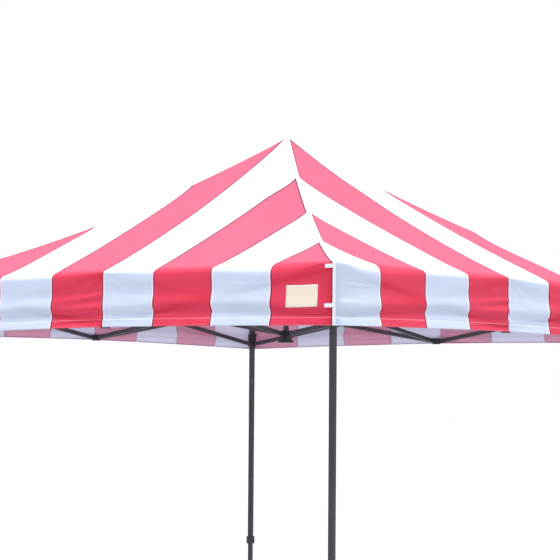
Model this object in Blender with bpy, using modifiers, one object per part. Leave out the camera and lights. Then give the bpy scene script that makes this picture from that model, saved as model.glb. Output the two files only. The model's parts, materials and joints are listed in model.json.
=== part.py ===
"""Pop-up canopy tent: scissor frame on four legs, centre mast and a pyramid cover with valances.

Metres, +Z up, origin on the ground under the peak. The front side faces -Y.
Each side is modelled once in the front side's place and turned about the mast for the other three.
"""
import bpy
import bmesh
from math import atan2, cos, pi, radians, sin, sqrt

# Overall sizes of the cover
SIDE = 3.05                 # eave to eave, ten feet
HALF = SIDE / 2
PEAK_Z = 3.110              # cloth over the mast
EAVE_Z = 2.250              # where the roof turns into the valance
HEM_Z = 1.950               # lower edge of the valance
CLOTH = 0.0040              # thickness of the cloth solids
CLOTH_DROP = 0.0045         # the same thickness measured straight down on the roof
SAG_MIDDLE = 0.18           # hollow of the roof along the middle of a side
SAG_HIP = 0.36              # further hollow towards the hips
EAVE_RADIUS = 0.015         # how far the eave is rounded in
TIP = 0.004                 # the four roof faces stop this far from the centre
MITRE = 0.0002              # half of the gap between two faces, measured along a side

# Legs
LEG_AT = 1.500              # leg centre from the mast, along X and Y
OUTER_TUBE = 0.028          # square upper tube
INNER_TUBE = 0.023          # square lower tube that telescopes in the upper one
TUBE_JOIN_Z = 0.700         # lower end of the upper tube
TUBE_TOP_Z = 2.180
COLLAR = 0.038              # square collar that locks the lower tube
COLLAR_HEIGHT = 0.048
FOOT = 0.100                # square foot plate
FOOT_THICK = 0.005
CAP_SIZE = 0.030            # square top bracket
SLEEVE_SIZE = 0.037         # square sliding bracket
SLEEVE_BELOW = 0.016        # slider below and above its pivots
SLEEVE_ABOVE = 0.064

# Scissor trusses: every bar has the same length, so all of them fold by the same angle
TOP_PIVOT_Z = 2.210
LOW_PIVOT_Z = 1.978
LEG_PIVOT = 0.042           # pivot from the leg's centre, and from the mast's centre
BLOCK_PIVOT = 0.040         # pivot from the centre of a mid-side block
BAR_WIDTH = 0.025
BAR_THICK = 0.012
EAR_THICK = 0.004           # flat lug between the two layers of bars
EAR_RADIUS = 0.012
EAR_ROOT = 0.010            # where a lug starts inside its bracket
GAP = 0.0003                # between pieces that touch

# Brackets and hubs
BLOCK_WIDTH = 0.044         # mid-side block along the side
BLOCK_DEPTH = 0.030
BRACKET_BELOW = 0.016       # material below a top pivot, and above a low pivot
LOW_BLOCK_BELOW = 0.021
HUB_SIZE = 0.048
HUB_ABOVE = 0.018
LOW_HUB_BOTTOM = 1.925
HUB_PLATE_RADIUS = 0.045
HUB_PLATE_HEIGHT = 0.013
MAST_RADIUS = 0.016
PEAK_CAP_RADIUS = 0.018
PEAK_CAP_CONE = 0.056       # height of the cap's cone, and of the rim below it
PEAK_CAP_RIM = 0.014

ROUND = 24                  # sides of a round piece
EAR_ARC = 6                 # sides of a lug's round end
BAR_ARC = 6                 # sides of a bar's round end
ROOF_ROWS = (TIP, 0.19, 0.45, 0.75, 1.05, 1.30, HALF - EAVE_RADIUS)
COVER_COLUMNS = 8           # strips across a face, as many as its stripes

SIDES = ("front", "right", "back", "left")
CORNERS = ("front_right", "back_right", "back_left", "front_left")

RISE = PEAK_Z - EAVE_Z
SPAN = LEG_AT - LEG_PIVOT - BLOCK_PIVOT
DROP = TOP_PIVOT_Z - LOW_PIVOT_Z
BAR_LENGTH = sqrt(SPAN ** 2 + DROP ** 2)
BAR_ANGLE = atan2(DROP, SPAN)
LAYER = EAR_THICK / 2 + GAP + BAR_THICK / 2
MID_PIVOT_Z = (TOP_PIVOT_Z + LOW_PIVOT_Z) / 2


def clear_scene():
    for item in list(bpy.data.objects):
        bpy.data.objects.remove(item, do_unlink=True)


def new_collection(name):
    collection = bpy.data.collections.new(name)
    bpy.context.scene.collection.children.link(collection)
    return collection


def new_material(name, colour, roughness, metallic):
    material = bpy.data.materials.new(name)
    material.use_nodes = True
    shader = material.node_tree.nodes["Principled BSDF"]
    shader.inputs["Base Color"].default_value = (*colour, 1.0)
    shader.inputs["Roughness"].default_value = roughness
    shader.inputs["Metallic"].default_value = metallic
    return material


def mesh_from(bm, name):
    mesh = bpy.data.meshes.new(name)
    bm.to_mesh(mesh)
    bm.free()
    return mesh


def box(name, size, centre=(0, 0, 0)):
    bm = bmesh.new()
    bmesh.ops.create_cube(bm, size=1)
    bmesh.ops.scale(bm, vec=size, verts=bm.verts)
    bmesh.ops.translate(bm, vec=centre, verts=bm.verts)
    return mesh_from(bm, name)


def cylinder(name, radius, bottom, top, at=(0, 0)):
    bm = bmesh.new()
    bmesh.ops.create_cone(bm, cap_ends=True, segments=ROUND, radius1=radius, radius2=radius,
                          depth=top - bottom)
    bmesh.ops.translate(bm, vec=(at[0], at[1], (top + bottom) / 2), verts=bm.verts)
    return mesh_from(bm, name)


def scratch_object(mesh):
    item = bpy.data.objects.new(mesh.name, mesh)
    bpy.context.scene.collection.objects.link(item)
    return item


def evaluated_mesh(item, name):
    """The item's mesh with its modifiers applied; the item is removed."""
    graph = bpy.context.evaluated_depsgraph_get()
    mesh = bpy.data.meshes.new_from_object(item.evaluated_get(graph))
    mesh.name = name
    bpy.data.objects.remove(item, do_unlink=True)
    return mesh


def combine(name, base, joined=(), cut=()):
    """Boolean union of base with the joined meshes, less the cut ones."""
    item = scratch_object(base)
    tools = []
    for operation, meshes in (("UNION", joined), ("DIFFERENCE", cut)):
        for mesh in meshes:
            tool = scratch_object(mesh)
            modifier = item.modifiers.new(operation.lower(), "BOOLEAN")
            modifier.operation = operation
            modifier.solver = "EXACT"
            modifier.object = tool
            tools.append(tool)
    mesh = evaluated_mesh(item, name)
    for tool in tools:
        bpy.data.objects.remove(tool, do_unlink=True)
    return mesh


def slab(name, outline, thickness):
    """Flat outline in the XZ plane, given as (x, z) points, with its thickness along Y."""
    curve = bpy.data.curves.new(name, "CURVE")
    curve.dimensions = "2D"
    curve.fill_mode = "BOTH"
    curve.extrude = thickness / 2
    spline = curve.splines.new("POLY")
    spline.points.add(len(outline) - 1)
    for point, (x, z) in zip(spline.points, outline):
        point.co = (x, z, 0, 1)
    spline.use_cyclic_u = True
    item = bpy.data.objects.new(name, curve)
    bpy.context.scene.collection.objects.link(item)
    mesh = evaluated_mesh(item, name)
    bm = bmesh.new()
    bm.from_mesh(mesh)
    bmesh.ops.remove_doubles(bm, verts=bm.verts, dist=0.00001)
    for vert in bm.verts:
        x, z, across = vert.co
        vert.co = (x, -across, z)
    bmesh.ops.recalc_face_normals(bm, faces=bm.faces)
    bm.to_mesh(mesh)
    bm.free()
    return mesh


def round_end(x, radius, start, steps):
    """Half circle about (x, 0), from the start angle on."""
    angles = [start + pi * step / steps for step in range(steps + 1)]
    return [(x + radius * cos(angle), radius * sin(angle)) for angle in angles]


def bar_mesh(name, start):
    """Flat bar along X with round ends; start is where its first pivot lies."""
    far = round_end(start + BAR_LENGTH, BAR_WIDTH / 2, -pi / 2, BAR_ARC)
    near = round_end(start, BAR_WIDTH / 2, pi / 2, BAR_ARC)
    return slab(name, far + near, BAR_THICK)


def lug(name, centre, direction, pivot):
    """Flat lug from a bracket's centre to a pivot; direction is the turn about Z from +X."""
    outline = [(EAR_ROOT, EAR_RADIUS), (EAR_ROOT, -EAR_RADIUS)]
    outline += round_end(pivot, EAR_RADIUS, -pi / 2, EAR_ARC)
    mesh = slab(name, outline, EAR_THICK)
    bm = bmesh.new()
    bm.from_mesh(mesh)
    for vert in bm.verts:
        x, y, z = vert.co
        vert.co = (centre[0] + x * cos(direction) - y * sin(direction),
                   centre[1] + x * sin(direction) + y * cos(direction),
                   centre[2] + z)
    bm.to_mesh(mesh)
    bm.free()
    return mesh


def roof_height(out, across):
    """Outer height of the roof; out is the distance from the centre, across runs -1 to 1."""
    share = out / HALF
    hollow = SAG_MIDDLE + SAG_HIP * across ** 2
    return EAVE_Z + RISE * (1 - share) * (1 - hollow * share)


def cloth_point(row, across, inside):
    """Distance out and height of the cover at a row, on its outer or inner face."""
    if row < len(ROOF_ROWS):
        out = ROOF_ROWS[row]
        return out, roof_height(out, across) - (CLOTH_DROP if inside else 0)
    out = HALF - (CLOTH if inside else 0)
    if row == len(ROOF_ROWS):
        return out, EAVE_Z - EAVE_RADIUS * 0.8 - (CLOTH_DROP if inside else 0)
    return out, HEM_Z


def under_eave(out, across):
    """Height of the cloth's inner face where it rounds the eave."""
    inner_out, inner_z = cloth_point(len(ROOF_ROWS) - 1, across, True)
    edge_out, edge_z = cloth_point(len(ROOF_ROWS), across, True)
    return inner_z + (edge_z - inner_z) * (out - inner_out) / (edge_out - inner_out)


def cover_mesh():
    """One roof face with its valance, for the front side, with its origin at the peak."""
    rows = len(ROOF_ROWS) + 1
    bm = bmesh.new()
    for inside in (False, True):
        grid = bmesh.ops.create_grid(bm, x_segments=COVER_COLUMNS, y_segments=rows, size=1)
        for vert in grid["verts"]:
            across = vert.co.x
            row = round((vert.co.y + 1) / 2 * rows)
            out, height = cloth_point(row, across, inside)
            vert.co = (across * (out - MITRE), -out, height - PEAK_Z)
    rim = [edge for edge in bm.edges if edge.is_boundary]
    bmesh.ops.bridge_loops(bm, edges=rim)
    bmesh.ops.recalc_face_normals(bm, faces=bm.faces)
    return mesh_from(bm, "cover face")


def block_mesh(name, below, above):
    """Mid-side block; its origin is its inner pivot, the block lies outwards along -Y."""
    centre = (0, -BLOCK_PIVOT, 0)
    body = box(name, (BLOCK_WIDTH, BLOCK_DEPTH, below + above),
               (0, -BLOCK_PIVOT, (above - below) / 2))
    lugs = [lug("lug", centre, turn, BLOCK_PIVOT) for turn in (0, pi, pi / 2)]
    return combine(name, body, lugs)


def corner_lugs():
    """Two lugs of a corner bracket, towards the left and the back; the origin is the left pivot."""
    centre = (LEG_PIVOT, 0, 0)
    return [lug("lug", centre, turn, LEG_PIVOT) for turn in (pi, pi / 2)]


def leg_cap_mesh():
    below = TOP_PIVOT_Z - TUBE_TOP_Z - GAP
    above = under_eave(LEG_AT + CAP_SIZE / 2, 1) - GAP - TOP_PIVOT_Z
    body = box("leg cap", (CAP_SIZE, CAP_SIZE, below + above), (LEG_PIVOT, 0, (above - below) / 2))
    return combine("leg cap", body, corner_lugs())


def slider_mesh():
    body = box("slider", (SLEEVE_SIZE, SLEEVE_SIZE, SLEEVE_BELOW + SLEEVE_ABOVE),
               (LEG_PIVOT, 0, (SLEEVE_ABOVE - SLEEVE_BELOW) / 2))
    hole = OUTER_TUBE + 2 * GAP
    cut = box("leg hole", (hole, hole, 1), (LEG_PIVOT, 0, 0))
    return combine("slider", body, corner_lugs(), [cut])


def upper_tube_mesh():
    height = TUBE_TOP_Z - TUBE_JOIN_Z
    middle = (TUBE_TOP_Z + TUBE_JOIN_Z) / 2 - TOP_PIVOT_Z
    return box("upper tube", (OUTER_TUBE, OUTER_TUBE, height), (LEG_PIVOT, 0, middle))


def lower_leg_mesh():
    """Lower tube on its foot plate, with the locking collar at its top."""
    ground = -TOP_PIVOT_Z
    top = TUBE_JOIN_Z - GAP
    tube = box("lower tube", (INNER_TUBE, INNER_TUBE, top - FOOT_THICK / 2),
               (LEG_PIVOT, 0, ground + (top + FOOT_THICK / 2) / 2))
    foot = box("foot", (FOOT, FOOT, FOOT_THICK), (LEG_PIVOT, 0, ground + FOOT_THICK / 2))
    collar = box("collar", (COLLAR, COLLAR, COLLAR_HEIGHT),
                 (LEG_PIVOT, 0, ground + top - COLLAR_HEIGHT / 2))
    return combine("lower leg", foot, [tube, collar])


def hub_lugs():
    return [lug("lug", (0, 0, 0), turn * pi / 2, LEG_PIVOT) for turn in range(4)]


def upper_hub_mesh():
    body = box("upper hub", (HUB_SIZE, HUB_SIZE, BRACKET_BELOW + HUB_ABOVE),
               (0, 0, (HUB_ABOVE - BRACKET_BELOW) / 2))
    hole = cylinder("mast hole", MAST_RADIUS + GAP, -0.1, 0.1)
    return combine("upper hub", body, hub_lugs(), [hole])


def lower_hub_mesh():
    """Lower hub with its origin at the front pivot, so its centre lies at +Y."""
    bottom = LOW_HUB_BOTTOM - LOW_PIVOT_Z
    body = box("lower hub", (HUB_SIZE, HUB_SIZE, BRACKET_BELOW - bottom),
               (0, 0, (BRACKET_BELOW + bottom) / 2))
    plate = cylinder("hub plate", HUB_PLATE_RADIUS, bottom - 0.0005, bottom + HUB_PLATE_HEIGHT)
    mesh = combine("lower hub", body, hub_lugs() + [plate])
    for vert in mesh.vertices:
        vert.co.y += LEG_PIVOT
    return mesh


def peak_cap_mesh():
    """Turned plastic cap on the mast, under the cloth, its top at the origin."""
    bottom = -PEAK_CAP_CONE - PEAK_CAP_RIM
    profile = [(0, 0), (TIP, 0), (PEAK_CAP_RADIUS, -PEAK_CAP_CONE), (PEAK_CAP_RADIUS, bottom), (0, bottom)]
    mesh = bpy.data.meshes.new("cap profile")
    edges = [(start, start + 1) for start in range(len(profile) - 1)]
    mesh.from_pydata([(x, 0, z) for x, z in profile], edges, [])
    item = scratch_object(mesh)
    screw = item.modifiers.new("turn", "SCREW")
    screw.steps = ROUND
    screw.render_steps = ROUND
    screw.use_merge_vertices = True
    screw.merge_threshold = 0.00001
    return evaluated_mesh(item, "peak cap")


def build():
    clear_scene()
    tent = new_collection("pop_up_canopy_tent")
    steel = new_material("charcoal steel", (0.035, 0.036, 0.040), 0.45, 0.6)
    plastic = new_material("black plastic", (0.020, 0.020, 0.022), 0.55, 0.0)
    cloth = new_material("canopy cloth", (0.85, 0.22, 0.28), 0.80, 0.0)

    def empty(name, location, turn, parent=None):
        item = bpy.data.objects.new(name, None)
        item.location = location
        item.rotation_euler = (0, 0, turn)
        item.parent = parent
        tent.objects.link(item)
        return item

    def part(name, mesh, material, parent, location, turn=(0, 0, 0)):
        if not mesh.materials:
            mesh.materials.append(material)
        item = bpy.data.objects.new(name, mesh)
        item.parent = parent
        item.location = location
        item.rotation_euler = turn
        tent.objects.link(item)
        return item

    bar = bar_mesh("bar", 0)
    centred_bar = bar_mesh("centred bar", -BAR_LENGTH / 2)
    seat = under_eave(LEG_AT + BLOCK_DEPTH / 2, 0) - GAP
    top_block = block_mesh("top block", BRACKET_BELOW, seat - TOP_PIVOT_Z)
    low_block = block_mesh("low block", LOW_BLOCK_BELOW, BRACKET_BELOW)
    leg_cap = leg_cap_mesh()
    slider = slider_mesh()
    upper_tube = upper_tube_mesh()
    lower_leg = lower_leg_mesh()
    cover = cover_mesh()

    centre = empty("centre", (0, 0, 0), 0)
    cap_top = roof_height(TIP, 0) - CLOTH_DROP - GAP
    cap_height = PEAK_CAP_CONE + PEAK_CAP_RIM
    mast_bottom = LOW_PIVOT_Z + BRACKET_BELOW + GAP
    mast = cylinder("mast", MAST_RADIUS, mast_bottom, cap_top - cap_height - GAP)
    part("centre_mast", mast, steel, centre, (0, 0, 0))
    part("peak_cap", peak_cap_mesh(), plastic, centre, (0, 0, cap_top))
    part("upper_hub", upper_hub_mesh(), plastic, centre, (0, 0, TOP_PIVOT_Z))
    part("lower_hub", lower_hub_mesh(), plastic, centre, (0, -LEG_PIVOT, LOW_PIVOT_Z))

    block_out = -(LEG_AT - BLOCK_PIVOT)
    for index, side in enumerate(SIDES):
        frame = empty(side + "_side", (0, 0, 0), index * pi / 2)
        part(side + "_cover", cover, cloth, frame, (0, 0, PEAK_Z))
        part(side + "_inner_bar_down", bar, steel, frame, (LAYER, -LEG_PIVOT, TOP_PIVOT_Z),
             (0, BAR_ANGLE, -pi / 2))
        part(side + "_inner_bar_up", centred_bar, steel, frame,
             (-LAYER, (block_out - LEG_PIVOT) / 2, MID_PIVOT_Z), (0, -BAR_ANGLE, -pi / 2))
        part(side + "_top_block", top_block, plastic, frame, (0, block_out, TOP_PIVOT_Z))
        part(side + "_low_block", low_block, plastic, frame, (0, block_out, LOW_PIVOT_Z))
        for half, along, turn in (("right", 1, 0), ("left", -1, pi)):
            start = along * BLOCK_PIVOT
            tilt = along * BAR_ANGLE
            part(f"{side}_{half}_bar_up", bar, steel, frame,
                 (start, -LEG_AT - LAYER, LOW_PIVOT_Z), (0, turn - tilt, 0))
            part(f"{side}_{half}_bar_down", bar, steel, frame,
                 (start, -LEG_AT + LAYER, TOP_PIVOT_Z), (0, turn + tilt, 0))

        corner = CORNERS[index]
        leg_pivot = (LEG_AT - LEG_PIVOT, -LEG_AT, TOP_PIVOT_Z)
        part(corner + "_leg_cap", leg_cap, plastic, frame, leg_pivot)
        part(corner + "_upper_tube", upper_tube, steel, frame, leg_pivot)
        part(corner + "_lower_leg", lower_leg, steel, frame, leg_pivot)
        part(corner + "_slider", slider, plastic, frame,
             (LEG_AT - LEG_PIVOT, -LEG_AT, LOW_PIVOT_Z))


build()
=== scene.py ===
import json
from math import cos, pi, radians, sin, sqrt
import bmesh
import bpy
import numpy as np
from mathutils import Matrix, Vector

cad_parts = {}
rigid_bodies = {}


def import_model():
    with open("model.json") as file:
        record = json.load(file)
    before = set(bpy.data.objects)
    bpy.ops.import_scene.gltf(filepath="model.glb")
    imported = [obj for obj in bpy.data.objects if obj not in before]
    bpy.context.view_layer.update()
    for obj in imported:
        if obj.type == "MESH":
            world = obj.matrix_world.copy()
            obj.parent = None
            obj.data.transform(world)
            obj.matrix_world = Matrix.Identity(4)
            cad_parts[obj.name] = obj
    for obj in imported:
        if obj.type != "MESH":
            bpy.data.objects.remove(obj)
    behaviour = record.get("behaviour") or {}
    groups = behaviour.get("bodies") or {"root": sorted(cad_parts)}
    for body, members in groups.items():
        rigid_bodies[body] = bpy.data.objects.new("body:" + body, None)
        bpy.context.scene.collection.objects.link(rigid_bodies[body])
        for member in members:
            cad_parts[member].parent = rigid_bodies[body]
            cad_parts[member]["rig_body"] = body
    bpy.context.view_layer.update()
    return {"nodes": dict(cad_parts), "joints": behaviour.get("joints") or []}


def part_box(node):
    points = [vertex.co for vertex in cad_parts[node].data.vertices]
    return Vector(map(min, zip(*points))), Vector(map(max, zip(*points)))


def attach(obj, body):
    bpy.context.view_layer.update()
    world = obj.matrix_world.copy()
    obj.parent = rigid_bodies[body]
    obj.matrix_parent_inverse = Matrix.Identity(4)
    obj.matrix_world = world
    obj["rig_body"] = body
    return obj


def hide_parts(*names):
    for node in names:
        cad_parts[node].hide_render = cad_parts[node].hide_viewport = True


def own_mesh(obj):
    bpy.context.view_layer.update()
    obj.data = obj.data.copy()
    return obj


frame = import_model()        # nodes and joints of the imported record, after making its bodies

sides = ("front", "right", "back", "left")
corners = ("front_right", "back_right", "back_left", "front_left")
half = -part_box("front_cover")[0].y       # mast to the outside of the valance
stripeWidth = 2 * half / 8
print("frame loaded, half width", round(half, 4))


# Small helpers for objects and node trees

def linkObject(name, mesh):
    obj = bpy.data.objects.new(name, mesh)
    bpy.context.scene.collection.objects.link(obj)
    return obj


def settle(obj):
    # the object's modifiers become its own plain mesh
    graph = bpy.context.evaluated_depsgraph_get()
    done = bpy.data.meshes.new_from_object(obj.evaluated_get(graph))
    old = obj.data
    obj.modifiers.clear()
    obj.data = done
    bpy.data.meshes.remove(old)
    return obj


def addNode(tree, kind, inputs=None, **settings):
    node = tree.nodes.new(kind)
    for key, value in settings.items():
        setattr(node, key, value)
    for key, value in (inputs or {}).items():
        if isinstance(value, bpy.types.NodeSocket):
            tree.links.new(value, node.inputs[key])
        else:
            node.inputs[key].default_value = value
    return node


def mathNode(tree, operation, first, second=0.0, third=0.0):
    return addNode(tree, "ShaderNodeMath", {0: first, 1: second, 2: third}, operation=operation).outputs[0]


def mixColour(tree, factor, first, second, blend="MIX"):
    node = addNode(tree, "ShaderNodeMix", data_type="RGBA", blend_type=blend)
    for socket, value in ((node.inputs[0], factor), (node.inputs[6], first), (node.inputs[7], second)):
        if isinstance(value, bpy.types.NodeSocket):
            tree.links.new(value, socket)
        else:
            socket.default_value = value
    return node.outputs[2]


def shaded(tree, shade, face):
    # the colour made darker or lighter by a grey level
    grey = addNode(tree, "ShaderNodeCombineColor", {0: shade, 1: shade, 2: shade}).outputs[0]
    return mixColour(tree, 1.0, face, grey, "MULTIPLY")


def colour(red, green, blue):
    return (red, green, blue, 1.0)


def startMaterial(name, roughness, metallic=0.0):
    material = bpy.data.materials.new(name)
    material.use_nodes = True
    shader = material.node_tree.nodes["Principled BSDF"]
    shader.inputs["Roughness"].default_value = roughness
    shader.inputs["Metallic"].default_value = metallic
    return material, material.node_tree, shader


def noise(tree, place, scale, detail, roughness=0.5):
    values = {"Vector": place, "Scale": scale, "Detail": detail, "Roughness": roughness}
    return addNode(tree, "ShaderNodeTexNoise", values).outputs[0]


def objectNoise(tree, scale, detail=3.0, stretch=(1, 1, 1), roughness=0.5):
    place = addNode(tree, "ShaderNodeTexCoord").outputs["Object"]
    shaped = addNode(tree, "ShaderNodeMapping", {"Vector": place, "Scale": stretch}).outputs[0]
    return noise(tree, shaped, scale, detail, roughness)


def remap(tree, value, low, high, toLow, toHigh):
    values = {"Value": value, "From Min": low, "From Max": high, "To Min": toLow, "To Max": toHigh}
    return addNode(tree, "ShaderNodeMapRange", values).outputs[0]


def bump(tree, shader, height, strength, distance):
    values = {"Height": height, "Strength": strength, "Distance": distance}
    normal = addNode(tree, "ShaderNodeBump", values).outputs[0]
    tree.links.new(normal, shader.inputs["Normal"])
    return normal


def legCentre(corner):
    low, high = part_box(corner + "_upper_tube")
    return (low.x + high.x) / 2, (low.y + high.y) / 2


# Materials

clothFinish = {
    "outside": {"white": colour(0.780, 0.890, 1.000), "red": colour(1.000, 0.016, 0.036),
                "roofRedPaintedHighlight": colour(1.000, 0.078, 0.122),    # paler than the valance's: a painted highlight of the roof in full light
                # seams: a painted highlight on the white side of each stripe's edge and a painted shadow line
                # on the red side, darker on the roof
                "seamHighlight": colour(1.000, 0.910, 0.960), "seamShadow": colour(0.270, 0.014, 0.070),
                "seamShadowRoof": colour(0.130, 0.009, 0.050),
                # the hem's stitched line and folded edge: a painted highlight
                "hemWhite": colour(0.800, 0.900, 1.000), "hemRed": colour(1.000, 0.100, 0.150),
                "whiteThrough": colour(0.90, 0.92, 1.00), "redThrough": colour(0.95, 0.46, 0.64)},
    "inside": {"white": colour(0.780, 0.780, 0.850), "red": colour(0.630, 0.510, 0.620),
               # on the inside the seams carry the same painted highlight and painted shadow
               "seamHighlight": colour(0.820, 0.800, 0.870), "seamShadow": colour(0.500, 0.350, 0.470),
               # the inside's folded edge is darker: a painted shade where the doubled hem lets less light
               # through
               "hemWhite": colour(0.560, 0.520, 0.640), "hemRed": colour(0.520, 0.260, 0.380),
               "whiteThrough": colour(0.92, 0.92, 0.98), "redThrough": colour(0.95, 0.58, 0.74)},
    "letsThrough": 0.42,       # share of the light that passes the cloth, and how much of it where doubled
    "doubledShare": 0.25,
    "doubledColour": colour(0.66, 0.50, 0.62),
    "weavePitch": 0.0016,
    "eaveBand": (0.292, 0.330),     # height above the hem over which valance red turns to roof red, whose paler tone is a painted highlight
    "seamOnWhite": 0.0100,     # felled edge that shows on each side of a stripe's edge, with a painted highlight on its white side and a painted shadow line on its red side
    "seamOnRed": 0.0085,
    "seamOnRoof": 0.0165,
    "seamFreeEnd": 0.012,      # no such edge this near a corner
    "hipSeam": 0.0180,         # the same along the hips and corners, partly under their tape
    "hemLine": 0.0385,         # height of the hem's stitched line, and how wide its painted highlight is
    "hemLineWidth": 0.0060,
    "edgeLine": 0.0070,        # folded lower edge, with a painted highlight on the outside and a painted shade on the inside
}


def within(tree, value, middle, width):
    # 1 where the value is within half a width of the middle
    away = mathNode(tree, "ABSOLUTE", mathNode(tree, "SUBTRACT", value, middle))
    return mathNode(tree, "LESS_THAN", away, width / 2)


def stripePattern(tree, along, up, stitchedLine):
    # masks of the red stripes, of the seams' painted highlight and painted shadow on either side of their
    # edges, of the roof and of the hem's lines
    finish = clothFinish
    stripe = mathNode(tree, "DIVIDE", along, stripeWidth)
    isRed = mathNode(tree, "MODULO", mathNode(tree, "FLOOR", stripe), 2.0)
    isWhite = mathNode(tree, "SUBTRACT", 1.0, isRed)
    fraction = mathNode(tree, "FRACT", stripe)
    nearest = mathNode(tree, "MINIMUM", fraction, mathNode(tree, "SUBTRACT", 1.0, fraction))
    toEdge = mathNode(tree, "MULTIPLY", nearest, stripeWidth)
    inner = within(tree, along, half, 2 * (half - finish["seamFreeEnd"]))
    onRoof = remap(tree, up, *finish["eaveBand"], 0.0, 1.0)
    masks = {"red": isRed, "roof": onRoof}
    redSeam = remap(tree, onRoof, 0.0, 1.0, finish["seamOnRed"], finish["seamOnRoof"])
    for name, where, width in (("seamHighlight", isWhite, finish["seamOnWhite"]), ("seamShadow", isRed, redSeam)):
        beside = mathNode(tree, "MULTIPLY", where, mathNode(tree, "LESS_THAN", toEdge, width))
        masks[name] = mathNode(tree, "MULTIPLY", beside, inner)
    toHip = addNode(tree, "ShaderNodeAttribute", attribute_name="hipDistance").outputs["Fac"]
    besideHip = mathNode(tree, "MULTIPLY", isRed, mathNode(tree, "LESS_THAN", toHip, finish["hipSeam"]))
    masks["seamShadow"] = mathNode(tree, "MAXIMUM", masks["seamShadow"], besideHip)
    masks["hem"] = mathNode(tree, "LESS_THAN", up, finish["edgeLine"])
    if stitchedLine:
        line = within(tree, up, finish["hemLine"], finish["hemLineWidth"])
        masks["hem"] = mathNode(tree, "MAXIMUM", line, masks["hem"])
    return masks


def clothMaterial(name, finish, stitchedLine):
    material, tree, shader = startMaterial(name, 0.78)
    uv = addNode(tree, "ShaderNodeUVMap", uv_map="cloth").outputs[0]
    split = addNode(tree, "ShaderNodeSeparateXYZ", {0: uv})
    along, up = split.outputs[0], split.outputs[1]
    masks = stripePattern(tree, along, up, stitchedLine)
    shade = remap(tree, noise(tree, uv, 2.6, 4.0), 0.3, 0.7, 0.97, 1.02)
    # the roof's red is paler: a painted highlight where the roof is in full light
    red = mixColour(tree, masks["roof"], finish["red"], finish.get("roofRedPaintedHighlight", finish["red"]))
    base = mixColour(tree, masks["red"], finish["white"], red)
    # the hem's colours: a painted highlight outside, a painted shade on the inside
    hemColour = mixColour(tree, masks["red"], finish["hemWhite"], finish["hemRed"])
    base = mixColour(tree, masks["hem"], base, hemColour)
    # painted highlight beside each seam on the white side, painted shadow beside it on the red side and along
    # the hips, darker on the roof
    base = mixColour(tree, masks["seamHighlight"], base, finish["seamHighlight"])
    seamOnRoof = finish.get("seamShadowRoof", finish["seamShadow"])
    seamShade = mixColour(tree, masks["roof"], finish["seamShadow"], seamOnRoof)
    base = mixColour(tree, masks["seamShadow"], base, seamShade)
    tree.links.new(shaded(tree, shade, base), shader.inputs["Base Color"])
    turn = 2 * pi / clothFinish["weavePitch"]
    warp = mathNode(tree, "SINE", mathNode(tree, "MULTIPLY", along, turn))
    weft = mathNode(tree, "SINE", mathNode(tree, "MULTIPLY", up, turn))
    weave = mathNode(tree, "MULTIPLY", warp, weft)
    height = mathNode(tree, "MULTIPLY_ADD", noise(tree, uv, 9.0, 5.0), 10.0, weave)
    normal = bump(tree, shader, height, 0.4, 0.00012)
    shader.inputs["Sheen Weight"].default_value = 0.15
    shader.inputs["Specular IOR Level"].default_value = 0.3
    through = mixColour(tree, masks["red"], finish["whiteThrough"], finish["redThrough"])
    doubled = mathNode(tree, "MAXIMUM", masks["seamHighlight"], masks["seamShadow"])
    doubled = mathNode(tree, "MAXIMUM", doubled, masks["hem"])
    through = mixColour(tree, doubled, through, clothFinish["doubledColour"])
    behind = addNode(tree, "ShaderNodeBsdfTranslucent", {"Color": through, "Normal": normal})
    single = clothFinish["letsThrough"]
    share = remap(tree, doubled, 0.0, 1.0, single, single * clothFinish["doubledShare"])
    mix = addNode(tree, "ShaderNodeMixShader", {0: share, 1: shader.outputs[0], 2: behind.outputs[0]})
    tree.links.new(mix.outputs[0], tree.nodes["Material Output"].inputs["Surface"])
    return material


def tapeMaterial(name, face, pitch=0.0022):
    material, tree, shader = startMaterial(name, 0.7)
    speck = objectNoise(tree, 260.0, 2.0)
    shade = remap(tree, speck, 0.3, 0.7, 0.86, 1.0)
    tree.links.new(shaded(tree, shade, face), shader.inputs["Base Color"])
    place = addNode(tree, "ShaderNodeTexCoord").outputs["Object"]
    ribs = addNode(tree, "ShaderNodeTexWave", {"Vector": place, "Scale": 0.314 / pitch, "Distortion": 0.4},
                   bands_direction="DIAGONAL").outputs[1]
    bump(tree, shader, mathNode(tree, "ADD", ribs, speck), 0.4, 0.0003)
    shader.inputs["Sheen Weight"].default_value = 0.1
    return material


def threadMaterial(name, face):
    material, tree, shader = startMaterial(name, 0.55)
    twist = objectNoise(tree, 1400.0, 1.0)
    shade = remap(tree, twist, 0.3, 0.7, 0.8, 1.0)
    tree.links.new(shaded(tree, shade, face), shader.inputs["Base Color"])
    bump(tree, shader, twist, 0.4, 0.0002)
    return material


coatFinish = {"face": colour(0.034, 0.034, 0.038), "dust": colour(0.070, 0.070, 0.074),
              "bare": colour(0.22, 0.22, 0.22)}


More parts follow.
